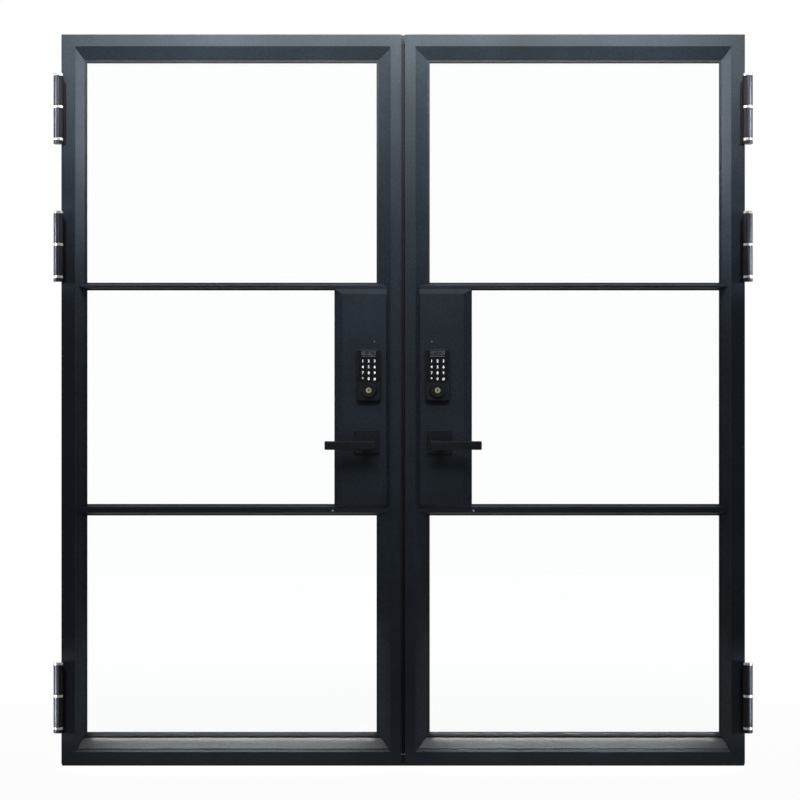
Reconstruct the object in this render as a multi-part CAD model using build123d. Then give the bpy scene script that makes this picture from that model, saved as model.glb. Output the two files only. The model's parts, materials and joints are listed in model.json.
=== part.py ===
from build123d import *
import os

# French doors with their steel frame, in millimetres. X runs across, +Y goes indoors, +Z is up.
# Depths are counted from the front face of the leaves, and the finished doors are then set back
# so that the origin is the centre of the threshold's underside.

# Leaves
leaf_width = 976.0
leaf_height = 2094.0
leaf_depth = 54.0
floor_gap = 8.0
meeting_gap = 10.0
flange = 18.0
rebate = 28.0

# Flat faces and inner bevels of the four bars of a leaf
hinge_face = 40.0
hinge_bevel = 28.0
meeting_face = 31.0
meeting_bevel = 38.0
top_face = 34.0
top_bevel = 41.0
bottom_face = 34.4
bottom_bevel = 51.6
bevel_depth = 22.0
stile_step = 3.0
glass_edge = 4.0
lip = 3.0
glass_bite = 6.0

# Sill on the bottom rail: a lip, a groove, a slope, a second groove and a bead at the glass
sill_lip_height = 7.2
sill_lip_depth = 3.5
sill_groove_height = 1.9
sill_groove_depth = 2.0
sill_slope_front = 3.0
sill_slope_back = 22.5
sill_bead_height = 9.5
sill_bead_front = 20.0

# Glazing bars across the leaf, heights above the floor
upper_bar_z = 1380.0
upper_bar_height = 17.0
lower_bar_z = 737.0
lower_bar_height = 28.0
bar_setback = 10.0
bar_flank = 6.0

# Glass units and the beads that hold them from indoors
glass_thickness = 20.0
glass_play = 1.0
bead_chamfer = 3.0

# Lock box beside the meeting stile: a sloped front plate over a body between the glazing bars
box_width = 149.0
box_inset = 41.5
upper_lap = 7.0
lower_lap = 8.5
box_side_slope = 21.0
box_top_slope = 14.0
box_bottom_slope = 9.0
box_stile_slope = 1.5

# Lock case inside the box
case_width = 92.0
case_height = 300.0
case_depth = 26.0
case_setback = 16.0
case_inset = 75.0
case_z = 1003.0
case_play = 0.3

# Lever handle and its square roses
lever_inset = 99.5
lever_z = 922.0
rose_z = 932.5
rose_width = 72.0
rose_height = 68.0
rose_thickness = 9.0
rose_radius = 4.0
rose_chamfer = 2.0
neck_radius = 11.0
neck_length = 45.0
lever_reach = 119.0
lever_tail = 28.0
lever_height = 25.0
lever_thickness = 14.0
lever_round = 3.5
spindle_side = 8.0
spindle_depth = 26.0
spindle_room = 7.0

# Keypad with its cylinder
keypad_inset = 93.5
keypad_low_z = 1050.0
keypad_width = 69.0
keypad_height = 149.0
keypad_thickness = 18.0
keypad_radius = 10.0
keypad_round = 3.0
panel_width = 60.0
panel_height = 92.0
panel_top_margin = 3.5
panel_radius = 7.0
panel_thickness = 4.0
panel_seat = 3.0
cylinder_z = 1080.0
guard_radius = 23.0
guard_front_radius = 20.0
guard_height = 8.0
guard_dish = 3.0
plug_radius = 8.0
plug_length = 20.0
keyway_width = 2.0
keyway_height = 9.0
keyway_depth = 5.0
tail_width = 8.0
tail_thickness = 3.0
tail_room = 6.0

# Indoor turn and its plate
plate_width = 58.0
plate_height = 112.0
plate_thickness = 8.0
plate_radius = 8.0
turn_length = 46.0
turn_width = 13.0
turn_height = 18.0
turn_hub_radius = 16.0
turn_hub_height = 6.0
grip_round_share = 0.25

# Deadbolt of the active leaf, and its strike in the other leaf
deadbolt_radius = 8.0
deadbolt_throw = 20.0
deadbolt_recess = 1.0
deadbolt_tail_gap = 2.5
strike_width = 28.0
strike_height = 60.0
strike_thickness = 2.5
strike_room = 4.0

# Shoot bolts in the meeting stiles, and their keepers
rod_radius = 5.0
rod_inset = 20.0
rod_setback = 44.0
rod_start = 70.0
rod_recess = 1.0
rod_throw = 18.0
keeper_length = 44.0
keeper_width = 22.0
keeper_thickness = 3.0
keeper_room = 4.0

# Frame bars behind the leaves' flanges
frame_margin = 1.5
frame_gap = 4.0
seat_gap = 2.0
stop_gap = 4.0
stop_lap = 15.0
stop_depth = 22.0
seal_width = 8.0
seal_gap = 0.4
seal_inset = 1.0
meeting_seal_width = 5.0
meeting_seal_length = 8.0
meeting_seal_setback = 6.0
meeting_seal_web = 1.6
bulb_round_share = 0.25
anchor_radius = 4.5
anchor_span = 560.0
lower_anchor_z = 610.0
upper_anchor_drop = 462.0

# Barrel hinges: places of their middles on the leaf, knuckles, rings, straps and face plates
low_hinge_rise = 192.0
middle_hinge_drop = 610.0
top_hinge_drop = 216.0
barrel_radius = 13.5
barrel_length = 202.0
ring_radius = 13.8
ring_height = 7.0
ring_play = 0.3
rings_per_hinge = 3
end_cap_height = 10.0
end_cap_round = 2.0
pin_radius = 6.0
ring_cap = 4.0
axis_out = 6.6
axis_front = 14.4
strap_thickness = 4.0
strap_seat = 30.0
plate_gap = 2.0
plate_reach = 14.6
hinge_plate_thickness = 3.0
plate_slope = 21.0

# Clearances and overrun
running_play = 0.08
loose_play = 0.3
cut_over = 5.0

# Places that follow from the sizes above
hinge_x = -(leaf_width + meeting_gap / 2)
meeting_x = -meeting_gap / 2
leaf_low = floor_gap
leaf_top = floor_gap + leaf_height
hinge_sight = hinge_face + hinge_bevel
meeting_sight = meeting_face + meeting_bevel
top_sight = top_face + top_bevel
bottom_sight = bottom_face + bottom_bevel
lip_back = bevel_depth + lip
glass_back = lip_back + glass_thickness
upper_bar_low = upper_bar_z - upper_bar_height / 2
lower_bar_top = lower_bar_z + lower_bar_height / 2
box_x = meeting_x - box_inset - box_width
box_low = lower_bar_top - lower_lap
box_top = upper_bar_low + upper_lap
lever_x = meeting_x - lever_inset
keypad_x = meeting_x - keypad_inset
case_x = meeting_x - case_inset - case_width
case_mid = case_setback + case_depth / 2
rod_x = meeting_x - rod_inset
frame_front = flange + seat_gap
stop_front = leaf_depth + stop_gap
frame_back = stop_front + stop_depth
frame_middle = (frame_front + frame_back) / 2
frame_inner = rebate - frame_gap
frame_top = leaf_top + frame_margin
axis_x = hinge_x - axis_out
axis_y = -axis_front
hinge_heights = (leaf_low + low_hinge_rise, leaf_top - middle_hinge_drop, leaf_top - top_hinge_drop)
upper_anchor_z = leaf_top - upper_anchor_drop


# Solids from an outline, upright, across the doors or through them
def upright(points, low, high):
    outline = make_face(Polyline(*points, close=True))
    return Pos(0, 0, low) * extrude(outline, amount=high - low)


def across(points, left, right):
    outline = Plane.YZ * make_face(Polyline(*points, close=True))
    return Pos(left, 0, 0) * extrude(outline, amount=right - left)


def through(points, front, back):
    outline = Plane.XZ * make_face(Polyline(*points, close=True))
    return Pos(0, front, 0) * extrude(outline, amount=back - front, dir=(0, 1, 0))


def block(left, right, front, back, low, high):
    corner = (Align.MIN, Align.MIN, Align.MIN)
    return Pos(left, front, low) * Box(right - left, back - front, high - low, align=corner)


# Round bars along each axis, and a rounded plate that lies across the depth
def rod_through(x, z, radius, front, back):
    return Pos(x, (front + back) / 2, z) * Rot(90, 0, 0) * Cylinder(radius, back - front)


def rod_across(y, z, radius, left, right):
    return Pos((left + right) / 2, y, z) * Rot(0, 90, 0) * Cylinder(radius, right - left)


def rod_up(x, y, radius, low, high):
    return Pos(x, y, (low + high) / 2) * Cylinder(radius, high - low)


def rounded_plate(x, z, width, height, radius, front, back):
    outline = Plane.XZ * RectangleRounded(width, height, radius)
    return Pos(x, front, z) * extrude(outline, amount=back - front, dir=(0, 1, 0))


# Section of a leaf's bar, from its outer edge towards the glass
def bevelled_front(face, bevel, step=0):
    sight = face + bevel
    edge = [(face, 0), (face, step)] if step else [(face, 0)]
    return [(0, 0)] + edge + [(sight - glass_edge, bevel_depth), (sight, bevel_depth)]


def sill_front():
    slope_low = bottom_face + sill_lip_height + sill_groove_height
    groove_back = sill_lip_depth + sill_groove_depth
    bead_low = bottom_sight - sill_bead_height
    slope_top = bead_low - sill_groove_height
    lip_points = [(0, 0), (bottom_face, 0), (bottom_face + sill_lip_height, sill_lip_depth)]
    groove = [(bottom_face + sill_lip_height, groove_back), (slope_low, groove_back)]
    slope = [(slope_low, sill_slope_front), (slope_top, sill_slope_back), (bead_low, sill_slope_back)]
    return lip_points + groove + slope + [(bead_low, sill_bead_front), (bottom_sight, sill_bead_front)]


def bar_section(front, setback):
    sight = front[-1][0]
    pocket = [(sight, lip_back), (sight - glass_bite, lip_back), (sight - glass_bite, leaf_depth)]
    back = [(setback, leaf_depth), (setback, flange), (0, flange)] if setback else [(0, leaf_depth)]
    return front + pocket + back


# Joint line of two bars at a corner, from the outer corner to the glass
def corner_line(edge_x, inward_x, side, edge_z, inward_z, end):
    return [(edge_x + inward_x * u, edge_z + inward_z * w) for u, w in zip((0,) + side, (0,) + end)]


def leaf_bars():
    hinge_run = (rebate, hinge_face, hinge_sight)
    meeting_run = (0, meeting_face, meeting_sight)
    top_run = (rebate, top_face, top_sight)
    bottom_run = (rebate, bottom_face, bottom_sight)
    low_hinge = corner_line(hinge_x, 1, hinge_run, leaf_low, 1, bottom_run)
    top_hinge = corner_line(hinge_x, 1, hinge_run, leaf_top, -1, top_run)
    low_meeting = corner_line(meeting_x, -1, meeting_run, leaf_low, 1, bottom_run)
    top_meeting = corner_line(meeting_x, -1, meeting_run, leaf_top, -1, top_run)

    hinge_points = bar_section(bevelled_front(hinge_face, hinge_bevel, stile_step), rebate)
    meeting_points = bar_section(bevelled_front(meeting_face, meeting_bevel, stile_step), 0)
    top_points = bar_section(bevelled_front(top_face, top_bevel), rebate)
    bottom_points = bar_section(sill_front(), rebate)

    hinge_bar = upright([(hinge_x + u, y) for u, y in hinge_points], leaf_low, leaf_top)
    meeting_bar = upright([(meeting_x - u, y) for u, y in meeting_points], leaf_low, leaf_top)
    top_bar = across([(y, leaf_top - w) for w, y in top_points], hinge_x, meeting_x)
    bottom_bar = across([(y, leaf_low + w) for w, y in bottom_points], hinge_x, meeting_x)

    def mitred(bar, outline):
        return bar & through(outline, -cut_over, leaf_depth + cut_over)

    return {
        "hinge_stile": mitred(hinge_bar, low_hinge + top_hinge[::-1]),
        "meeting_stile": mitred(meeting_bar, low_meeting[1:] + top_meeting[:0:-1]),
        "top_rail": mitred(top_bar, top_hinge + top_meeting[::-1]),
        "bottom_rail": mitred(bottom_bar, low_hinge + low_meeting[::-1]),
    }


# A glazing bar: sloped flanks in front, a web between the panes, ends coped to the stiles' bevels
def glazing_bar(middle, height, stiles):
    half = height / 2
    web = half - glass_bite
    side = [(bar_setback, half - bar_flank), (bevel_depth, half), (lip_back, half)]
    side += [(lip_back, web), (leaf_depth, web)]
    points = [(y, middle + w) for y, w in side] + [(y, middle - w) for y, w in reversed(side)]
    bar = across(points, hinge_x + hinge_face, meeting_x - meeting_face)
    for stile in stiles:
        bar = bar - stile
    return bar


# The pockets that hold the three panes: left, right, low and high walls
def pane_pockets():
    left = hinge_x + hinge_sight - glass_bite
    right = meeting_x - meeting_sight + glass_bite
    box_pocket = box_x + glass_bite
    upper_web = upper_bar_height / 2 - glass_bite
    lower_web = lower_bar_height / 2 - glass_bite
    return {
        "upper": (left, right, upper_bar_z + upper_web, leaf_top - top_sight + glass_bite),
        "middle": (left, box_pocket, lower_bar_z + lower_web, upper_bar_z - upper_web),
        "lower": (left, right, leaf_low + bottom_sight - glass_bite, lower_bar_z - lower_web),
    }


# Four chamfered beads round one pane: full-width ones above and below, short ones between
def pane_beads(left, right, low, high):
    section = [(glass_back, 0), (glass_back, glass_bite), (leaf_depth - bead_chamfer, glass_bite)]
    section += [(leaf_depth, glass_bite - bead_chamfer), (leaf_depth, 0)]
    lower = across([(y, low + w) for y, w in section], left, right)
    upper = across([(y, high - w) for y, w in section], left, right)
    first = upright([(left + w, y) for y, w in section], low + glass_bite, high - glass_bite)
    last = upright([(right - w, y) for y, w in section], low + glass_bite, high - glass_bite)
    return [lower, upper, first, last]


# Lock box: front plate with sloped edges, body behind it that goes up under the glazing bar's lip,
# and pockets for the pane and for the lock case
def lock_box(bars, active):
    right = box_x + box_width
    face_width = box_width - box_side_slope - box_stile_slope
    plate_height = upper_bar_low - box_low
    face_height = plate_height - box_top_slope - box_bottom_slope
    face_middle_x = box_x + box_side_slope + face_width / 2
    face_middle_z = box_low + box_bottom_slope + face_height / 2
    seat = Plane.XZ * Rectangle(box_width, plate_height)
    face = Plane.XZ * Rectangle(face_width, face_height)
    seat = Pos(box_x + box_width / 2, bar_setback, box_low + plate_height / 2) * seat
    face = Pos(face_middle_x, 0, face_middle_z) * face
    plate = loft([seat, face], ruled=True)
    body = block(box_x, right, bar_setback, leaf_depth, box_low, box_top)
    box = plate + body
    for bar in bars:
        box = box - bar
    box = box - block(box_x - cut_over, box_x + glass_bite, lip_back, leaf_depth + cut_over, box_low, box_top)
    box = box - case_block(case_play)
    return box - lock_holes(active, -cut_over, leaf_depth + cut_over)


def case_block(play):
    left = case_x - play
    low = case_z - case_height / 2 - play
    back = case_setback + case_depth
    return block(left, left + case_width + 2 * play, case_setback, back, low, low + case_height + 2 * play)


# Ways through the box and the case for the spindle, the cylinder's tail and the deadbolt
def lock_holes(active, front, back):
    holes = rod_through(lever_x, lever_z, spindle_room, front, back)
    if active:
        holes = holes + rod_through(keypad_x, cylinder_z, tail_room, front, back)
        holes = holes + deadbolt(loose_play, cut_over)
    return holes


def deadbolt(play, longer):
    start = keypad_x + tail_width / 2 + deadbolt_tail_gap
    end = meeting_x - deadbolt_recess
    return rod_across(case_mid, cylinder_z, deadbolt_radius + play, start, end + longer)


# Shoot bolts stand inside the meeting stile, one going up and one going down from the lock
def shoot_bolts(play, longer):
    top_end = leaf_top - rebate - rod_recess
    low_end = leaf_low + rebate + rod_recess
    upper = rod_up(rod_x, rod_setback, rod_radius + play, lever_z + rod_start, top_end + longer)
    lower = rod_up(rod_x, rod_setback, rod_radius + play, low_end - longer, lever_z - rod_start)
    return upper, lower


# Lever on one side of the leaf: a rounded bar on a round neck that holds the end of the spindle
def lever(face, outward):
    neck_end = face + outward * (rose_thickness + neck_length)
    tip = neck_end + outward * lever_thickness
    neck_foot = face + outward * loose_play
    neck = rod_through(lever_x, lever_z, neck_radius, min(neck_foot, neck_end), max(neck_foot, neck_end))
    low = lever_z - lever_height / 2
    left = lever_x - lever_reach
    bar = block(left, lever_x + lever_tail, min(neck_end, tip), max(neck_end, tip), low, low + lever_height)
    bar = fillet(bar.edges(), lever_round)
    root = neck_end + outward * lever_round
    joined = rod_through(lever_x, lever_z, neck_radius, min(neck_end, root), max(neck_end, root))
    return neck + joined + bar - spindle()


def spindle():
    half = spindle_side / 2
    front = -spindle_depth
    back = leaf_depth + spindle_depth
    return block(lever_x - half, lever_x + half, front, back, lever_z - half, lever_z + half)


def roses():
    pair = []
    for face, outward in ((0, -1), (leaf_depth, 1)):
        end = face + outward * rose_thickness
        low, high = min(face, end), max(face, end)
        rose = rounded_plate(lever_x, rose_z, rose_width, rose_height, rose_radius, low, high)
        front_face = rose.faces().sort_by(Axis.Y)[0 if outward < 0 else -1]
        rose = chamfer(front_face.edges(), rose_chamfer)
        neck_hole = rod_through(lever_x, lever_z, neck_radius + loose_play, low - cut_over, high + cut_over)
        pair.append(rose - neck_hole)
    return Compound(pair)


# Keypad: rounded housing, glossy panel in its seat, cylinder guard and plug below it
def keypad_pieces(active):
    middle_z = keypad_low_z + keypad_height / 2
    panel_z = keypad_low_z + keypad_height - panel_top_margin - panel_height / 2
    front = -keypad_thickness
    housing = rounded_plate(keypad_x, middle_z, keypad_width, keypad_height, keypad_radius, front, 0)
    housing = fillet(housing.faces().sort_by(Axis.Y)[0].edges(), keypad_round)
    seat_back = front + panel_seat
    bore = plug_radius + running_play
    panel = rounded_plate(keypad_x, panel_z, panel_width, panel_height, panel_radius,
                          seat_back - panel_thickness, seat_back)
    housing = housing - panel - rod_through(keypad_x, cylinder_z, bore, front - cut_over, cut_over)

    profile = [(bore, 0), (guard_radius, 0), (guard_radius, guard_dish)]
    profile += [(guard_front_radius, guard_height), (plug_radius + guard_dish, guard_height)]
    profile += [(bore, guard_height - guard_dish)]
    turned = revolve(Plane.XZ * make_face(Polyline(*profile, close=True)), Axis.Z)
    guard = Pos(keypad_x, front, cylinder_z) * Rot(90, 0, 0) * turned

    plug_front = front - guard_height + guard_dish
    plug = rod_through(keypad_x, cylinder_z, plug_radius, plug_front, plug_front + plug_length)
    half_way = keyway_width / 2
    half_tall = keyway_height / 2
    keyway = block(keypad_x - half_way, keypad_x + half_way, plug_front - cut_over, plug_front + keyway_depth,
                   cylinder_z - half_tall, cylinder_z + half_tall)
    plug = plug - keyway
    if active:
        plug = plug + cylinder_tail(plug_front + plug_length)
    return {"keypad_housing": housing, "keypad_panel": panel, "cylinder_guard": guard, "key_plug": plug}


# Flat tail that carries the turn of the plug through the lock to the indoor turn
def cylinder_tail(start):
    half = tail_thickness / 2
    wide = tail_width / 2
    end = leaf_depth + plate_thickness + turn_hub_height
    return block(keypad_x - wide, keypad_x + wide, start, end, cylinder_z - half, cylinder_z + half)


# Indoor plate and the turn on it, a hub with a waisted grip
def turn_pieces():
    plate_back = leaf_depth + plate_thickness
    plate = rounded_plate(keypad_x, cylinder_z, plate_width, plate_height, plate_radius,
                          leaf_depth, plate_back)
    plate = chamfer(plate.faces().sort_by(Axis.Y)[-1].edges(), rose_chamfer)
    plate = plate - rod_through(keypad_x, cylinder_z, tail_room, leaf_depth - cut_over, plate_back + cut_over)
    hub_back = plate_back + turn_hub_height
    grip_back = hub_back + turn_height
    hub = rod_through(keypad_x, cylinder_z, turn_hub_radius, plate_back + loose_play, hub_back)
    grip = rounded_plate(keypad_x, cylinder_z, turn_width, turn_length, turn_width / 2 - loose_play,
                         hub_back, grip_back)
    grip = fillet(grip.faces().sort_by(Axis.Y)[-1].edges(), turn_width * grip_round_share)
    return plate, hub + grip - cylinder_tail(plate_back)


# Hinge heights from the bottom up: end cap, ring, frame knuckle, ring, leaf knuckle, ring
def hinge_levels(middle):
    knuckle_height = (barrel_length - end_cap_height - rings_per_hinge * ring_height) / 2
    low = middle - barrel_length / 2
    low_ring = low + end_cap_height
    frame_low = low_ring + ring_height
    middle_ring = frame_low + knuckle_height
    leaf_knuckle_low = middle_ring + ring_height
    top_ring = leaf_knuckle_low + knuckle_height
    return low, low_ring, frame_low, middle_ring, leaf_knuckle_low, top_ring


# A knuckle turned round the pin, with a strap that reaches back to the bar that it is welded to
def knuckle(low, high, strap_x, strap_end, bore):
    barrel = rod_up(axis_x, axis_y, barrel_radius, low, high)
    strap = block(strap_x - strap_thickness, strap_x, axis_y, strap_end, low, high)
    return barrel + strap - rod_up(axis_x, axis_y, bore, low - cut_over, high + cut_over)


# Plate of a leaf knuckle on the stile's face, as long as the hinge, with a sloped top
def hinge_plate(low, leaf_knuckle_low, high):
    edge = hinge_x + plate_gap
    end = hinge_x + plate_reach
    outline = [(edge, low), (end, low), (end, high - plate_slope), (edge, high)]
    outline += [(hinge_x - strap_thickness, high), (hinge_x - strap_thickness, leaf_knuckle_low)]
    return through(outline + [(edge, leaf_knuckle_low)], -hinge_plate_thickness, 0)


def hinge_pieces():
    fixed, moving, pins, rings = [], [], [], []
    bore = pin_radius + running_play
    for middle in hinge_heights:
        low, low_ring, frame_low, middle_ring, leaf_knuckle_low, top_ring = hinge_levels(middle)
        strap_back = frame_front + strap_seat
        fixed.append(knuckle(frame_low, middle_ring, hinge_x - frame_margin, strap_back, pin_radius))
        swing_low = leaf_knuckle_low + ring_play
        swing_high = top_ring - ring_play
        swinging = knuckle(swing_low, swing_high, hinge_x, flange, bore)
        moving.append(swinging + hinge_plate(low, swing_low, swing_high))
        pin = rod_up(axis_x, axis_y, pin_radius, low_ring, top_ring + ring_height - ring_cap)
        end_cap = rod_up(axis_x, axis_y, barrel_radius, low, low_ring)
        pins.append(pin + fillet(end_cap.edges().sort_by(Axis.Z)[0], end_cap_round))
        for level, cap in ((low_ring, False), (middle_ring, False), (top_ring, True)):
            ring = rod_up(axis_x, axis_y, ring_radius, level, level + ring_height)
            ring = chamfer(ring.edges().filter_by(GeomType.CIRCLE), ring_play)
            bore_top = level + ring_height + (-ring_cap if cap else cut_over)
            rings.append(ring - rod_up(axis_x, axis_y, pin_radius, level - cut_over, bore_top))
    return fixed, moving, pins, rings


def leaf_pieces(active):
    pieces = leaf_bars()
    stiles = (pieces["hinge_stile"], pieces["meeting_stile"])
    pieces["upper_glazing_bar"] = glazing_bar(upper_bar_z, upper_bar_height, stiles)
    pieces["lower_glazing_bar"] = glazing_bar(lower_bar_z, lower_bar_height, stiles)
    bars = (pieces["meeting_stile"], pieces["upper_glazing_bar"], pieces["lower_glazing_bar"])
    pieces["lock_box"] = lock_box(bars, active)
    pieces["lock_case"] = case_block(0) - lock_holes(active, 0, leaf_depth)

    beads = []
    for name, (left, right, low, high) in pane_pockets().items():
        pane = block(left + glass_play, right - glass_play, lip_back, glass_back,
                     low + glass_play, high - glass_play)
        pieces[name + "_pane"] = pane
        beads += pane_beads(left, right, low, high)
    pieces["glazing_beads"] = Compound(beads)

    upper_bolt, lower_bolt = shoot_bolts(0, 0)
    upper_way, lower_way = shoot_bolts(loose_play, cut_over)
    pieces["meeting_stile"] = pieces["meeting_stile"] - upper_way - lower_way
    pieces["top_rail"] = pieces["top_rail"] - upper_way
    pieces["bottom_rail"] = pieces["bottom_rail"] - lower_way
    pieces["upper_shoot_bolt"] = upper_bolt
    pieces["lower_shoot_bolt"] = lower_bolt
    pieces["outside_lever"] = lever(0, -1)
    pieces["inside_lever"] = lever(leaf_depth, 1)
    pieces["lever_spindle"] = spindle()
    pieces["lever_roses"] = roses()
    pieces.update(keypad_pieces(active))
    pieces["hinge_knuckles"] = Compound(hinge_pieces()[1])
    if active:
        pieces["meeting_stile"] = pieces["meeting_stile"] - deadbolt(loose_play, cut_over)
        pieces["deadbolt"] = deadbolt(0, 0)
        pieces["turn_plate"], pieces["inside_turn"] = turn_pieces()
        pieces["meeting_seal"] = meeting_seal()
    else:
        pieces["meeting_stile"] = pieces["meeting_stile"] - strike_plate() - strike_pocket()
        pieces["deadbolt_strike"] = strike_plate() - strike_pocket()
    return pieces


# Strike plate let into the edge of the other leaf, and the pocket behind it
def strike_plate():
    half = strike_width / 2
    low = cylinder_z - strike_height / 2
    back = meeting_x - strike_thickness
    return block(back, meeting_x, case_mid - half, case_mid + half, low, low + strike_height)


def strike_pocket():
    deep = deadbolt_throw - deadbolt_recess - meeting_gap + strike_room
    radius = deadbolt_radius + loose_play
    return rod_across(case_mid, cylinder_z, radius, meeting_x - deep, meeting_x + cut_over)


# Seal in the slot between the leaves: a foot on the active leaf, a thin web and a bulb in mid slot
def meeting_seal():
    low = leaf_low + rebate
    high = leaf_top - rebate
    front = meeting_seal_setback
    back = front + meeting_seal_length
    bulb = block(-meeting_seal_width / 2, meeting_seal_width / 2, front, back, low, high)
    bulb = fillet(bulb.edges().filter_by(Axis.Z), meeting_seal_width * bulb_round_share)
    web_front = (front + back) / 2
    return bulb + block(meeting_x, 0, web_front, web_front + meeting_seal_web, low, high)


# Frame: one angle section for all four bars, its rear leg being the stop that the leaves close on
def frame_section(outer):
    inner = frame_inner
    stop = frame_inner + stop_lap
    seat = [(outer, frame_front), (inner, frame_front), (inner, stop_front)]
    return seat + [(stop, stop_front), (stop, frame_back), (outer, frame_back)]


def frame_pieces():
    jamb = upright([(hinge_x + u, y) for u, y in frame_section(-frame_margin)], 0, frame_top)
    anchor_y = (frame_front + stop_front) / 2
    for middle in (lower_anchor_z, upper_anchor_z):
        for side in (-1, 1):
            height = middle + side * anchor_span / 2
            jamb = jamb - rod_across(anchor_y, height, anchor_radius, hinge_x - cut_over, hinge_x + rebate)
    jambs = (jamb, mirror(jamb, about=Plane.YZ))
    head = across([(y, leaf_top - w) for w, y in frame_section(-frame_margin)], hinge_x, -hinge_x)
    sill = across([(y, leaf_low + w) for w, y in frame_section(-leaf_low)], hinge_x, -hinge_x)
    for side in jambs:
        head = head - side
        sill = sill - side
    head_face = leaf_top - frame_inner
    sill_face = leaf_low + frame_inner
    bolt_reach = rod_throw - rod_recess - frame_gap + keeper_room
    way_radius = rod_radius + loose_play
    keepers = []
    for x in (rod_x, -rod_x):
        upper = keeper(x, head_face, head_face + keeper_thickness)
        lower = keeper(x, sill_face - keeper_thickness, sill_face)
        way_up = rod_up(x, rod_setback, way_radius, head_face - cut_over, head_face + bolt_reach)
        way_down = rod_up(x, rod_setback, way_radius, sill_face - bolt_reach, sill_face + cut_over)
        head = head - upper - way_up
        sill = sill - lower - way_down
        keepers += [upper - way_up, lower - way_down]
    return jambs, head, sill, keepers


# Keeper plate of a shoot bolt, let flush into the head or the threshold
def keeper(x, low, high):
    half = keeper_length / 2
    wide = keeper_width / 2
    return block(x - half, x + half, rod_setback - wide, rod_setback + wide, low, high)


# Strips on the stops that the closed leaves bear on
def frame_seals():
    inner = frame_inner + stop_lap - seal_inset
    outer = inner - seal_width
    front = leaf_depth + seal_gap
    left = hinge_x + outer
    low = leaf_low + outer
    high = leaf_top - outer
    lower = block(left, -left, front, stop_front, low, low + seal_width)
    upper = block(left, -left, front, stop_front, high - seal_width, high)
    first = block(left, left + seal_width, front, stop_front, low + seal_width, high - seal_width)
    return [lower, upper, first, mirror(first, about=Plane.YZ)]


def both_sides(solids):
    return Compound(list(solids) + [mirror(solid, about=Plane.YZ) for solid in solids])


# The whole set of doors, with the right leaf as the active one
pieces = {}
for name, solid in leaf_pieces(False).items():
    pieces["left_" + name] = solid
for name, solid in leaf_pieces(True).items():
    pieces["right_" + name] = mirror(solid, about=Plane.YZ)

(left_jamb, right_jamb), frame_head, threshold, keeper_plates = frame_pieces()
fixed_knuckles, _, hinge_pins, hinge_rings = hinge_pieces()
pieces["left_jamb"] = left_jamb
pieces["right_jamb"] = right_jamb
pieces["frame_head"] = frame_head
pieces["threshold"] = threshold
pieces["frame_seals"] = Compound(frame_seals())
pieces["bolt_keepers"] = Compound(keeper_plates)
pieces["frame_hinge_knuckles"] = both_sides(fixed_knuckles)
pieces["hinge_pins"] = both_sides(hinge_pins)
pieces["hinge_rings"] = both_sides(hinge_rings)

os.makedirs("parts", exist_ok=True)
for name, solid in pieces.items():
    export_step(Pos(0, -frame_middle, 0) * solid, "parts/" + name + ".step")
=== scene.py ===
import json
import math

import bmesh
import bpy
from mathutils import Matrix, Vector


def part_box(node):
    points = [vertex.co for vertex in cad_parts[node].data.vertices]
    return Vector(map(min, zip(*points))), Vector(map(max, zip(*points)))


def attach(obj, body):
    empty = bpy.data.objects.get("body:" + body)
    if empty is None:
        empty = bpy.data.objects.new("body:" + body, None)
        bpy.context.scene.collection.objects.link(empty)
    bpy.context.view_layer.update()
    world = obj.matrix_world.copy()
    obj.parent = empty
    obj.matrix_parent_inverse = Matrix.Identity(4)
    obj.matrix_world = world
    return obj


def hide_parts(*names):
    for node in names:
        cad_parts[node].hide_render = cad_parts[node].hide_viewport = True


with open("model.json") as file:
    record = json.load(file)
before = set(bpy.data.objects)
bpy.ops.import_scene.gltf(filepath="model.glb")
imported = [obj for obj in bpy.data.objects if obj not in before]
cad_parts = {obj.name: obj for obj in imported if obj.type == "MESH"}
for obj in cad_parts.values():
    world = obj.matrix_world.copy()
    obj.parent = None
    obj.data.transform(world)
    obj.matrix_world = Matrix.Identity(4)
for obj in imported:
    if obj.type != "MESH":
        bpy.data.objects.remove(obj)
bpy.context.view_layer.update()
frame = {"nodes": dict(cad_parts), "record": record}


# Painted bars: the leaves' stiles, rails and glazing bars, the lock boxes and the frame.
# They are mitred steel sections, welded, ground and powder coated in satin charcoal.
# The powder leaves a fine orange peel, soft arrises and slight clouds in the tone.
mm = 0.001
weld_gap = 0.002 * mm
flat_angle = math.radians(0.5)
ease_angle = math.radians(25)
crease_angle = math.radians(50)
face_weight = 100
scene = bpy.context.scene
slots = {part["node"]: part["material_slot"] for part in frame["record"]["subparts"]}
bodies = frame["record"]["behaviour"]["bodies"]
body_of_node = {node: body for body, nodes in bodies.items() for node in nodes}


def linear(code):
    parts = [int(code[i:i + 2], 16) / 255 for i in (1, 3, 5)]
    return tuple(c / 12.92 if c <= 0.04045 else ((c + 0.055) / 1.055) ** 2.4 for c in parts) + (1.0,)


def add_node(tree, kind, inputs=None, **settings):
    made = tree.nodes.new(kind)
    for name, value in settings.items():
        setattr(made, name, value)
    for socket, value in (inputs or {}).items():
        if isinstance(value, bpy.types.NodeSocket):
            tree.links.new(value, made.inputs[socket])
        else:
            made.inputs[socket].default_value = value
    return made


def start_finish(name):
    finish = bpy.data.materials.new(name)
    finish.use_nodes = True
    finish.node_tree.nodes.clear()
    place = add_node(finish.node_tree, "ShaderNodeTexCoord").outputs["Object"]
    return finish, finish.node_tree, place


def end_finish(tree, shader):
    add_node(tree, "ShaderNodeOutputMaterial", {"Surface": shader.outputs[0]})


def set_tones(ramp, first, dark, last, light):
    ramp.elements[0].position = first
    ramp.elements[0].color = linear(dark)
    ramp.elements[1].position = last
    ramp.elements[1].color = linear(light)


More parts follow.
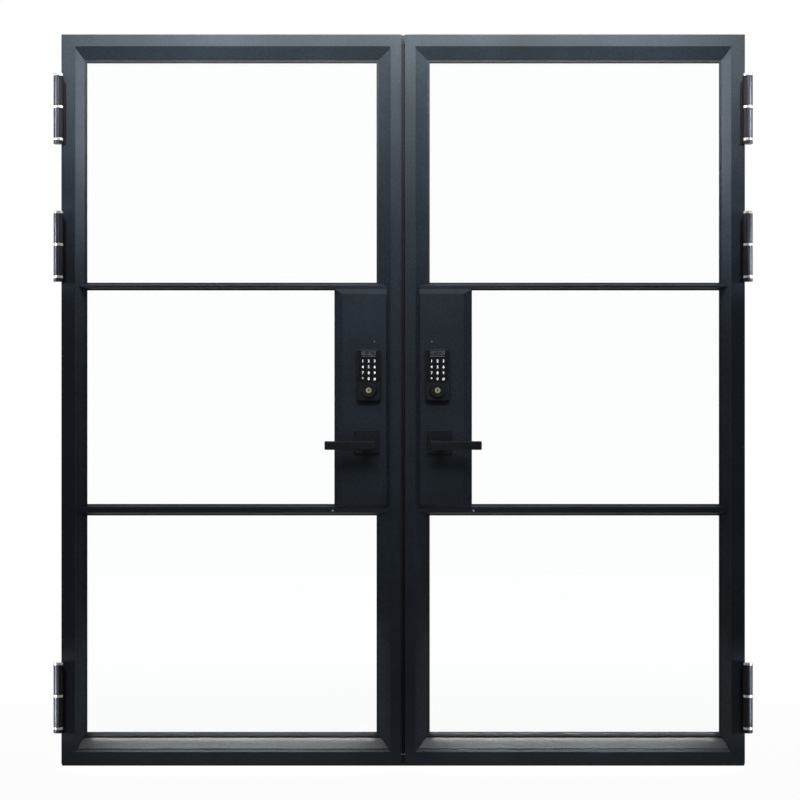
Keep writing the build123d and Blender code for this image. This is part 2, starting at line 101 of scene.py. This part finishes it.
# A noise keeps almost wholly between these two values.
noise_low = 0.3
noise_high = 0.7


def powder_coat(name, dark, light, peel_mm, cloud_mm, low_gloss, high_gloss):
    finish, tree, place = start_finish(name)
    clouds = add_node(tree, "ShaderNodeTexNoise", {
        "Vector": place, "Scale": 1 / (cloud_mm * mm), "Detail": 4.0})
    tone = add_node(tree, "ShaderNodeValToRGB", {"Fac": clouds.outputs["Fac"]})
    set_tones(tone.color_ramp, 0.35, dark, 0.68, light)
    peel = add_node(tree, "ShaderNodeTexNoise", {
        "Vector": place, "Scale": 1 / (peel_mm * mm), "Detail": 3.0})
    gloss = add_node(tree, "ShaderNodeMapRange", {
        "Value": peel.outputs["Fac"], "From Min": noise_low, "From Max": noise_high,
        "To Min": low_gloss, "To Max": high_gloss})
    relief = add_node(tree, "ShaderNodeBump", {
        "Height": peel.outputs["Fac"], "Strength": 0.35, "Distance": 0.25 * mm})
    speckle = add_node(tree, "ShaderNodeMapRange", {
        "Value": peel.outputs["Fac"], "From Min": noise_low, "From Max": noise_high,
        "To Min": 0.7, "To Max": 1.32})
    speckled = add_node(tree, "ShaderNodeVectorMath", {
        0: tone.outputs["Color"], "Scale": speckle.outputs["Result"]}, operation="SCALE")
    shader = add_node(tree, "ShaderNodeBsdfPrincipled", {
        "Base Color": speckled.outputs["Vector"], "Roughness": gloss.outputs["Result"],
        "Normal": relief.outputs["Normal"], "Specular IOR Level": 0.3})
    end_finish(tree, shader)
    return finish


# The peel of a real coat is under 2 mm across: it is drawn at 4.5 mm so that it shows.
charcoal_coat = powder_coat("charcoal_powder_coat", "#2b343c", "#323c46", 4.5, 170.0, 0.4, 0.56)


# Copy of a piece with its edges eased, as grinding and paint leave them.
def eased_copy(node, width, finish, steps=2):
    shape = bmesh.new()
    shape.from_mesh(frame["nodes"][node].data)
    bmesh.ops.remove_doubles(shape, verts=shape.verts, dist=weld_gap)
    bmesh.ops.dissolve_limit(shape, angle_limit=flat_angle, verts=shape.verts, edges=shape.edges)
    edges = [e for e in shape.edges if e.is_manifold and e.calc_face_angle() > ease_angle]
    bmesh.ops.bevel(shape, geom=edges, offset=width, offset_type="OFFSET", segments=steps, profile=0.5,
                    affect="EDGES", clamp_overlap=True, material=-1)
    return set_piece(shape, node + "_finished", body_of_node[node], slots[node], finish, node)


def set_piece(shape, name, body, slot, finish, *replaced):
    data = bpy.data.meshes.new(name)
    shape.to_mesh(data)
    shape.free()
    data.materials.append(finish)
    data.shade_smooth()
    data.set_sharp_from_angle(angle=crease_angle)
    piece = bpy.data.objects.new(name, data)
    scene.collection.objects.link(piece)
    weighting = piece.modifiers.new("flat_faces", "WEIGHTED_NORMAL")
    weighting.keep_sharp = True
    weighting.weight = face_weight
    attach(piece, body)
    if replaced:
        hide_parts(*replaced)
    return piece


bar_ease = 0.9 * mm
hinge_nodes = ["frame_hinge_knuckles", "left_hinge_knuckles", "right_hinge_knuckles", "hinge_pins"]
for node, slot in slots.items():
    if slot == "charcoal_steel" and node not in hinge_nodes:
        eased_copy(node, bar_ease, charcoal_coat)


# Panes: clear float glass in sealed units, held in the bars' pockets by the beads.
# The photo's panes show the white behind them and almost no reflection.
# So the glass has a low index of refraction, where real glass has about 1.5.
glass_index = 1.2
glass_wave = 420 * mm


def clear_glass():
    finish, tree, place = start_finish("clear_float_glass")
    waves = add_node(tree, "ShaderNodeTexNoise", {
        "Vector": place, "Scale": 1 / glass_wave, "Detail": 1.0})
    relief = add_node(tree, "ShaderNodeBump", {
        "Height": waves.outputs["Fac"], "Strength": 0.05, "Distance": 0.2 * mm})
    shader = add_node(tree, "ShaderNodeBsdfPrincipled", {
        "Base Color": linear("#fdfefe"), "Roughness": 0.0, "IOR": glass_index,
        "Transmission Weight": 1.0, "Normal": relief.outputs["Normal"]})
    end_finish(tree, shader)
    return finish


def assign(nodes, finish):
    for node in nodes:
        frame["nodes"][node].data.materials.clear()
        frame["nodes"][node].data.materials.append(finish)


pane_glass = clear_glass()
pane_nodes = [node for node in slots if node.endswith("_pane")]
assign(pane_nodes, pane_glass)


# Glazing gaskets: black rubber strips squeezed between the bars' lips and the glass.
# They show as a thin dark line round each pane, mitred at the corners.
def rubber(name, code, grain_mm):
    finish, tree, place = start_finish(name)
    grain = add_node(tree, "ShaderNodeTexNoise", {
        "Vector": place, "Scale": 1 / (grain_mm * mm), "Detail": 2.0})
    gloss = add_node(tree, "ShaderNodeMapRange", {
        "Value": grain.outputs["Fac"], "To Min": 0.5, "To Max": 0.75})
    relief = add_node(tree, "ShaderNodeBump", {
        "Height": grain.outputs["Fac"], "Strength": 0.2, "Distance": 0.1 * mm})
    shader = add_node(tree, "ShaderNodeBsdfPrincipled", {
        "Base Color": linear(code), "Roughness": gloss.outputs["Result"],
        "Normal": relief.outputs["Normal"], "Specular IOR Level": 0.3})
    end_finish(tree, shader)
    return finish


seal_rubber = rubber("black_seal_rubber", "#14161a", 2.0)
gasket_width = 2.6 * mm
gasket_thickness = 2.4 * mm
pane_cover = 5.0 * mm


def gasket(node):
    low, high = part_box(node)
    shape = bmesh.new()
    bmesh.ops.create_grid(shape, x_segments=1, y_segments=1, size=0.5)
    wide = high.x - low.x - 2 * pane_cover
    tall = high.z - low.z - 2 * pane_cover
    bmesh.ops.scale(shape, vec=(wide, tall, 1), verts=shape.verts)
    bmesh.ops.rotate(shape, matrix=Matrix.Rotation(math.radians(90), 3, "X"), verts=shape.verts)
    middle = (low + high) / 2
    bmesh.ops.translate(shape, vec=(middle.x, low.y, middle.z), verts=shape.verts)
    pane_face = list(shape.faces)
    bmesh.ops.inset_region(shape, faces=pane_face, thickness=gasket_width, use_boundary=True,
                           use_even_offset=True)
    bmesh.ops.delete(shape, geom=pane_face, context="FACES")
    ring = bmesh.ops.extrude_face_region(shape, geom=list(shape.faces))
    front = [v for v in ring["geom"] if isinstance(v, bmesh.types.BMVert)]
    bmesh.ops.translate(shape, vec=(0, -gasket_thickness, 0), verts=front)
    bmesh.ops.recalc_face_normals(shape, faces=shape.faces)
    set_piece(shape, node + "_gasket", body_of_node[node], "seal_rubber", seal_rubber)


for node in pane_nodes:
    gasket(node)
assign(["frame_seals"], seal_rubber)


# Meeting seal: a grey rubber bulb in the slot between the leaves, on the right one's edge; its grey is
# darkened as painted shade for the gaps beside it.
# A soft flap behind the bulb bears on the left leaf, so that no light comes through the slot.
meeting_rubber_with_painted_shade = rubber("grey_seal_rubber_darkened_as_shade", "#2b2a2c", 2.0)
flap_thickness = 1.5 * mm


def block(shape, size, middle):
    corners = bmesh.ops.create_cube(shape, size=1.0)["verts"]
    bmesh.ops.scale(shape, vec=size, verts=corners)
    bmesh.ops.translate(shape, vec=middle, verts=corners)


def meeting_seal():
    shape = bmesh.new()
    shape.from_mesh(frame["nodes"]["right_meeting_seal"].data)
    bmesh.ops.remove_doubles(shape, verts=shape.verts, dist=weld_gap)
    low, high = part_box("right_meeting_seal")
    left_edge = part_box("left_meeting_stile")[1].x
    size = (high.x - left_edge, flap_thickness, high.z - low.z)
    middle = ((high.x + left_edge) / 2, high.y + flap_thickness / 2, (low.z + high.z) / 2)
    block(shape, size, middle)
    set_piece(shape, "right_meeting_seal_finished", "right_leaf", "seal_rubber", meeting_rubber_with_painted_shade,
              "right_meeting_seal")


meeting_seal()


# Hinges: turned barrel knuckles of dark steel, each with its strap; the light and dark streaks along
# them are painted reflection bands.
# Bright rings stand at the top, middle and bottom of every barrel.
# Their inner side, with the plate that fixes it to the hinge stile's face, is near black; on the barrel
# this is painted shade.
def streaked_metal(name, dark, light, streak_mm, gloss, metallic=0.6):
    finish, tree, place = start_finish(name)
    across = 1 / (streak_mm * mm)
    drawn = add_node(tree, "ShaderNodeMapping", {"Vector": place, "Scale": (across, across, 2.0)})
    streaks = add_node(tree, "ShaderNodeTexNoise", {
        "Vector": drawn.outputs["Vector"], "Scale": 1.0, "Detail": 3.0})
    tone = add_node(tree, "ShaderNodeValToRGB", {"Fac": streaks.outputs["Fac"]})
    set_tones(tone.color_ramp, 0.38, dark, 0.62, light)
    shader = add_node(tree, "ShaderNodeBsdfPrincipled", {
        "Base Color": tone.outputs["Color"], "Metallic": metallic, "Roughness": gloss})
    end_finish(tree, shader)
    return finish


# Real drawing streaks are finer than 1 mm: these are drawn at 4.5 mm, light and dark, as painted
# reflection bands of the lamps on the barrels.
barrel_steel_painted_reflections = streaked_metal("dark_steel_painted_reflection_bands", "#1a1c21", "#595b61", 4.5, 0.4)
near_black_plate_and_painted_shade = streaked_metal("near_black_plate_and_inner_painted_shade", "#14151b", "#1d1e26", 9.0, 0.55)
ring_steel = streaked_metal("bright_ring_steel", "#d8d2c4", "#f4f1e9", 6.0, 0.3)
knuckle_ease = 0.5 * mm
ring_ease = 0.8 * mm
# Faces nearer the middle of the doors than this get the near black finish: the plate, and the barrel's
# inner side as painted shade.
inner_shade_reach = 983.5 * mm
for node in hinge_nodes:
    piece = eased_copy(node, knuckle_ease, barrel_steel_painted_reflections)
    piece.data.materials.append(near_black_plate_and_painted_shade)
    for face in piece.data.polygons:
        if abs(face.center.x) < inner_shade_reach:
            face.material_index = 1
eased_copy("hinge_rings", ring_ease, ring_steel)


# Levers, roses, keypad housings, cylinder guards and the indoor turn: die-cast zinc in satin black.
# The castings have rounded edges that catch a soft light.
black_coat = powder_coat("satin_black_cast_zinc", "#20262a", "#282e33", 3.0, 60.0, 0.36, 0.5)
casting_ease = 0.6 * mm
for node, slot in slots.items():
    if slot in ("black_hardware", "guard_metal"):
        eased_copy(node, casting_ease, black_coat)


# Keypad panel: a glossy black touch window with a rounded edge, set into the housing.
# Its numbers are lit from behind in white, three across and four down.
# Three fine ribs cross its top; their light grey is a painted highlight of the window's top edge.
smear_width = 14 * mm
glow_width = 12 * mm


def gloss_panel():
    finish, tree, place = start_finish("gloss_black_window")
    smear = add_node(tree, "ShaderNodeTexNoise", {
        "Vector": place, "Scale": 1 / smear_width, "Detail": 3.0})
    gloss = add_node(tree, "ShaderNodeMapRange", {
        "Value": smear.outputs["Fac"], "To Min": 0.12, "To Max": 0.26})
    shader = add_node(tree, "ShaderNodeBsdfPrincipled", {
        "Base Color": linear("#1d2226"), "Roughness": gloss.outputs["Result"],
        "Specular IOR Level": 0.4})
    end_finish(tree, shader)
    return finish


def lit_white():
    finish, tree, place = start_finish("lit_white_numbers")
    glow = add_node(tree, "ShaderNodeTexNoise", {"Vector": place, "Scale": 1 / glow_width})
    level = add_node(tree, "ShaderNodeMapRange", {
        "Value": glow.outputs["Fac"], "From Min": noise_low, "From Max": noise_high,
        "To Min": 0.6, "To Max": 1.6})
    shader = add_node(tree, "ShaderNodeBsdfPrincipled", {
        "Base Color": linear("#f2f4f6"), "Roughness": 0.5, "Emission Color": linear("#f4f7fa"),
        "Emission Strength": level.outputs["Result"]})
    end_finish(tree, shader)
    return finish


window_gloss = gloss_panel()
number_white = lit_white()
# The ribs' light grey is a painted highlight.
rib_painted_highlight = powder_coat("ribs_grey_painted_highlight", "#868c91", "#d3d8dc", 5.0, 9.0, 0.3, 0.45)
panel_ease = 1.6 * mm
number_pitch = 17.0 * mm
number_height = 11.0 * mm
number_drop = 11.5 * mm
number_relief = 0.15 * mm
number_swell = 0.12 * mm
number_rows = ("123", "456", "789", "*0#")
rib_drops = (6.0 * mm, 12.0 * mm, 18.0 * mm)
rib_size = (42.0 * mm, 1.2 * mm, 1.5 * mm)
rib_ease = 0.3 * mm


def number_mesh(text):
    letters = bpy.data.curves.new("number", "FONT")
    letters.body = text
    letters.size = number_height
    letters.align_x = "CENTER"
    letters.align_y = "CENTER"
    letters.offset = number_swell
    letters.extrude = number_relief
    letters.resolution_u = 3
    holder = bpy.data.objects.new("number", letters)
    scene.collection.objects.link(holder)
    bpy.context.view_layer.update()
    data = bpy.data.meshes.new_from_object(holder.evaluated_get(bpy.context.evaluated_depsgraph_get()))
    bpy.data.objects.remove(holder)
    return data


def keypad_numbers(side, middle, front):
    shape = bmesh.new()
    for row, texts in enumerate(number_rows):
        for column, text in enumerate(texts):
            data = number_mesh(text)
            x = middle.x + (column - 1) * number_pitch
            z = middle.z - number_drop + (1.5 - row) * number_pitch
            data.transform(Matrix.Translation((x, front, z)) @ Matrix.Rotation(math.radians(90), 4, "X"))
            shape.from_mesh(data)
            bpy.data.meshes.remove(data)
    set_piece(shape, side + "_keypad_numbers", side + "_leaf", "keypad_gloss", number_white)


def keypad_ribs(side, middle_x, top, front):
    shape = bmesh.new()
    for drop in rib_drops:
        block(shape, rib_size, (middle_x, front, top - drop))
    bmesh.ops.bevel(shape, geom=list(shape.edges), offset=rib_ease, offset_type="OFFSET", segments=2,
                    profile=0.5, affect="EDGES", material=-1)
    set_piece(shape, side + "_keypad_ribs", side + "_leaf", "keypad_gloss", rib_painted_highlight)


for side in ("left", "right"):
    panel = side + "_keypad_panel"
    eased_copy(panel, panel_ease, window_gloss, steps=4)
    low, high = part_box(panel)
    middle = (low + high) / 2
    keypad_numbers(side, middle, low.y)
    keypad_ribs(side, middle.x, high.z, low.y)


# Key plugs: turned brass, each with its key slot drawn as a thin black inlay in its face, as painted
# shade for the slot's depth.
# They are polished, so they show much brighter than the black round them.
plug_brass = streaked_metal("turned_brass", "#ecd39c", "#fff1cd", 4.0, 0.4, metallic=0.1)
plug_ease = 0.4 * mm
keyway_size = (3.4 * mm, 0.4 * mm, 6.4 * mm)
keyway_round = 1.2 * mm


# A thin black inlay on the plug's face is painted shade in place of the recessed key slot.
def painted_keyway_shade(side):
    plug = side + "_key_plug"
    low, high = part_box(plug)
    shape = bmesh.new()
    middle = (low + high) / 2
    block(shape, keyway_size, (middle.x, low.y, middle.z))
    ends = [e for e in shape.edges if abs(e.verts[0].co.y - e.verts[1].co.y) > keyway_size[1] / 2]
    bmesh.ops.bevel(shape, geom=ends, offset=keyway_round, offset_type="OFFSET", segments=4, profile=0.5,
                    affect="EDGES", material=-1)
    set_piece(shape, side + "_keyway", body_of_node[plug], slots[plug], seal_rubber)


for side in ("left", "right"):
    eased_copy(side + "_key_plug", plug_ease, plug_brass)
    painted_keyway_shade(side)


# Hidden steel and fixing screws: zinc plated bolts, spindles, keepers and plates.
# A small socket screw stands in each lock box and in each lower glazing bar; its pale, barely metallic
# zinc is a painted glint.
zinc_plate = streaked_metal("zinc_plated_steel", "#8b8d8e", "#aeb0b0", 8.0, 0.4)
screw_zinc_painted_glint = streaked_metal("pale_screw_zinc_painted_glint", "#c9ccce", "#eef0f0", 5.0, 0.35, metallic=0.2)
assign([node for node, slot in slots.items() if slot == "zinc_steel"], zinc_plate)
# Places of the screws: out from the middle of the doors, and up from the floor.
box_screw = (82.2 * mm, 1220.6 * mm)
bar_screw = (202.5 * mm, 735.0 * mm)
box_screw_radius = 1.6 * mm
bar_screw_radius = 2.8 * mm
screw_outline = ((0.0, 0.1), (1.0, 0.1), (1.0, -0.25), (0.75, -0.45), (0.45, -0.5), (0.45, -0.2),
                 (0.0, -0.2))


def screw(shape, x, front, z, radius):
    points = [shape.verts.new((x + out * radius, front + rise * radius, z))
              for out, rise in screw_outline]
    edges = [shape.edges.new(pair) for pair in zip(points, points[1:])]
    bmesh.ops.spin(shape, geom=points + edges, cent=(x, front, z), axis=(0, 1, 0),
                   angle=math.radians(360), steps=16, use_merge=True)


for side, way in (("left", -1), ("right", 1)):
    shape = bmesh.new()
    box_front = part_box(side + "_lock_box")[0].y
    bar_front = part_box(side + "_lower_glazing_bar")[0].y
    screw(shape, way * box_screw[0], box_front, box_screw[1], box_screw_radius)
    screw(shape, way * bar_screw[0], bar_front, bar_screw[1], bar_screw_radius)
    bmesh.ops.remove_doubles(shape, verts=shape.verts, dist=weld_gap)
    bmesh.ops.recalc_face_normals(shape, faces=shape.faces)
    set_piece(shape, side + "_fixing_screws", side + "_leaf", "zinc_steel", screw_zinc_painted_glint)


# Studio: a pale floor and a white surround, seen by the camera, through the glass and by mirrored rays.
# All other rays meet a dark floor and a dim room, so that the lamps shade the coat.
# A mirrored ray sees the full white past far, only its least share before near, and a blend between.
def seen_rays(tree, depth, near, far, least=0.0):
    path = add_node(tree, "ShaderNodeLightPath")
    behind = add_node(tree, "ShaderNodeMapRange", {
        "Value": depth, "From Min": near, "From Max": far, "To Min": least})
    mirrored = add_node(tree, "ShaderNodeMath", {
        0: path.outputs["Is Glossy Ray"], 1: behind.outputs["Result"]}, operation="MULTIPLY")
    direct = add_node(tree, "ShaderNodeMath", {
        0: path.outputs["Is Camera Ray"], 1: path.outputs["Is Transmission Ray"]}, operation="MAXIMUM")
    seen = add_node(tree, "ShaderNodeMath", {
        0: direct.outputs[0], 1: mirrored.outputs[0]}, operation="MAXIMUM")
    return seen.outputs[0]


def studio_floor():
    finish, tree, place = start_finish("pale_studio_floor")
    depth = add_node(tree, "ShaderNodeSeparateXYZ", {"Vector": place}).outputs["Y"]
    seen = seen_rays(tree, depth, -0.5, 0.5, least=0.2)
    away = add_node(tree, "ShaderNodeVectorMath", {0: place}, operation="LENGTH")
    level = add_node(tree, "ShaderNodeMapRange", {
        "Value": away.outputs["Value"], "From Min": 1.2, "From Max": 4.0,
        "To Min": 0.965, "To Max": 1.0}, interpolation_type="SMOOTHSTEP")
    glow = add_node(tree, "ShaderNodeMath", {
        0: seen, 1: level.outputs["Result"]}, operation="MULTIPLY")
    paint = add_node(tree, "ShaderNodeBsdfDiffuse", {"Color": linear("#2c2c2c")})
    light = add_node(tree, "ShaderNodeEmission", {"Strength": glow.outputs[0]})
    both = add_node(tree, "ShaderNodeAddShader", {0: paint.outputs[0], 1: light.outputs[0]})
    end_finish(tree, both)
    return finish


floor_radius = 9.0
shape = bmesh.new()
bmesh.ops.create_circle(shape, cap_ends=True, segments=64, radius=floor_radius)
floor_data = bpy.data.meshes.new("studio_floor")
shape.to_mesh(floor_data)
shape.free()
floor_data.materials.append(studio_floor())
floor = bpy.data.objects.new("studio_floor", floor_data)
scene.collection.objects.link(floor)


def surround():
    world = bpy.data.worlds.new("studio")
    world.use_nodes = True
    tree = world.node_tree
    tree.nodes.clear()
    way = add_node(tree, "ShaderNodeTexCoord").outputs["Generated"]
    axes = add_node(tree, "ShaderNodeSeparateXYZ", {"Vector": way})
    height = add_node(tree, "ShaderNodeMapRange", {
        "Value": axes.outputs["Z"], "From Min": -0.1, "From Max": 0.9,
        "To Min": 0.18, "To Max": 0.22}, interpolation_type="SMOOTHSTEP")
    seen = seen_rays(tree, axes.outputs["Y"], 0.3, 0.7)
    room = add_node(tree, "ShaderNodeBackground", {
        "Color": linear("#e6ecf4"), "Strength": height.outputs["Result"]})
    white = add_node(tree, "ShaderNodeBackground", {"Color": linear("#ffffff"), "Strength": 1.0})
    sky = add_node(tree, "ShaderNodeMixShader", {
        0: seen, 1: room.outputs[0], 2: white.outputs[0]})
    add_node(tree, "ShaderNodeOutputWorld", {"Surface": sky.outputs[0]})
    return world


scene.world = surround()


cool_white = "#f6f8ff"
warm_white = "#fff8ec"
sill_white = "#fff6ea"
bead_white = "#ffeed8"


def soft_lamp(name, place, target, width, depth, watts, spread, tint=cool_white):
    lamp = bpy.data.lights.new(name, "AREA")
    lamp.shape = "RECTANGLE"
    lamp.size = width
    lamp.size_y = depth
    lamp.energy = watts
    lamp.spread = math.radians(spread)
    lamp.color = linear(tint)[:3]
    holder = bpy.data.objects.new(name, lamp)
    holder.location = place
    holder.visible_camera = False
    holder.visible_transmission = False
    holder.rotation_euler = (Vector(target) - Vector(place)).to_track_quat("-Z", "Y").to_euler()
    scene.collection.objects.link(holder)


# The head lamp lights the top of the leaves and the upper lamp the stiles below it, with a rising lamp
# for the head's slope and a lamp in each upper corner. The front lamp lights the lock boxes, small
# ones the hinges, the sills and the beads above them, and the back and side lamps the rest.
soft_lamp("head_lamp", (0, -0.45, 2.55), (0, 0, 2.4), 2.0, 0.25, 28, 112, tint=warm_white)
soft_lamp("upper_lamp", (0, -1.2, 2.6), (0, 0, 1.85), 2.4, 0.1, 1.7, 30)
soft_lamp("rising_lamp", (0, -0.5, 1.2), (0, 0, 2.1), 1.9, 0.1, 0.32, 60)
soft_lamp("front_lamp", (0, -1.5, 2.4), (0, 0, 1.25), 0.8, 0.8, 1.3, 48)
soft_lamp("back_lamp", (0, 2.6, 2.3), (0, 0, 1.0), 2.4, 1.2, 50, 180)
hinge_middles = (0.2, 1.49, 1.89)
leaf_middle = 0.49
for side in (-1, 1):
    soft_lamp("side_lamp", (side * 2.4, 0.6, 1.2), (side * 1.0, 0, 1.1), 0.6, 2.0, 10, 180)
    soft_lamp("corner_lamp", (side * 0.3, -0.2, 2.05), (side * 0.93, -0.04, 1.72), 0.2, 0.5, 0.8, 60)
    x = side * leaf_middle
    soft_lamp("sill_lamp", (x, -0.06, 0.6), (x, -0.06, 0), 0.78, 0.04, 1.9, 35, tint=sill_white)
    soft_lamp("bead_lamp", (x, -0.058, 0.2), (x, -0.03, 0.09), 0.81, 0.008, 0.15, 10, tint=bead_white)
    for z in hinge_middles:
        soft_lamp("hinge_lamp", (side * 1.2, -0.2, z), (side * 0.99, -0.064, z), 0.05, 0.2, 0.068, 34)


# Camera: the photograph is straight on, with the eye at the height of the levers.
# A pixel of it is 2.87 mm at the leaves' front faces, and the shift sets the doors in its frame.
pixel = 2.87 * mm
frame_pixels = 800
eye_row = 446
leaf_foot_row = 764
middle_column = 403.15
distance = 6.0
leaf_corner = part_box("left_bottom_rail")[0]
view = bpy.data.cameras.new("camera")
view.sensor_width = 36
view.lens = view.sensor_width * distance / (pixel * frame_pixels)
view.shift_x = (frame_pixels / 2 - middle_column) / frame_pixels
view.shift_y = (eye_row - frame_pixels / 2) / frame_pixels
camera = bpy.data.objects.new("camera", view)
camera.location = (0, leaf_corner.y - distance, leaf_corner.z + (leaf_foot_row - eye_row) * pixel)
camera.rotation_euler = (math.radians(90), 0, 0)
scene.collection.objects.link(camera)
scene.camera = camera
scene.view_settings.view_transform = "Standard"
